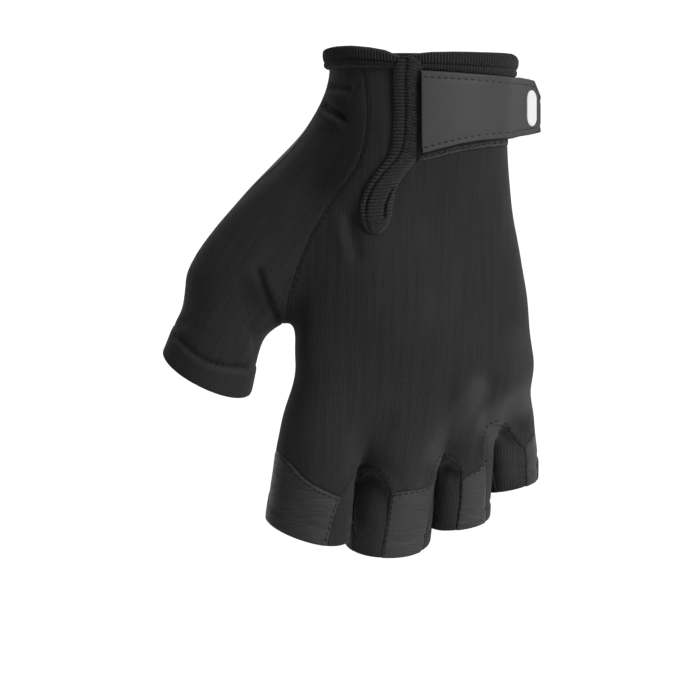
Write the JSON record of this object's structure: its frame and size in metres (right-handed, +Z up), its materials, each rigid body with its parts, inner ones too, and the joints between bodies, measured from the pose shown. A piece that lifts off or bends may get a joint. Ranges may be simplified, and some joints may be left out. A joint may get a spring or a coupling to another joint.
{
  "type": "weightlifting glove",
  "caption": "Fingerless weightlifting glove in worn form: knit back, leather palm, finger caps with gussets, ribbed wrist binding and a hook-and-loop wrist strap.",
  "frame": {"origin": "middle of the wrist opening, a little below the top edge of the cuff", "axes": "+Z up the forearm out of the wrist opening, -Y out of the back of the hand, +X to the little-finger side; the fingers point down"},
  "size_m": [0.1275, 0.0662, 0.1683],
  "materials": {
    "back_knit": "black stretch knit with fine vertical ribs, matt",
    "cap_cloth": "dark grey brushed cloth with fine cross streaks, slight sheen",
    "palm_leather": "black fine-grained leather, semi-matt",
    "ribbed_tape": "black ribbed knit binding, matt",
    "strap_rubber": "mid-grey smooth coated face with black edges and stitched border, satin",
    "loop_pile": "black loop pile, matt",
    "patch_white": "plain white soft rubber, satin"
  },
  "bodies": {
    "root": {"back_panel": "back_knit", "thumb_panel": "back_knit", "palm_panel": "palm_leather", "index_cap": "cap_cloth", "middle_cap": "cap_cloth", "ring_cap": "cap_cloth", "little_cap": "cap_cloth", "gusset_index_middle": "back_knit", "gusset_middle_ring": "back_knit", "gusset_ring_little": "back_knit", "cuff_binding": "ribbed_tape", "slit_binding": "ribbed_tape", "closure_pad": "loop_pile", "wrist_strap": "strap_rubber", "strap_patch": "patch_white"}
  },
  "joints": []
}
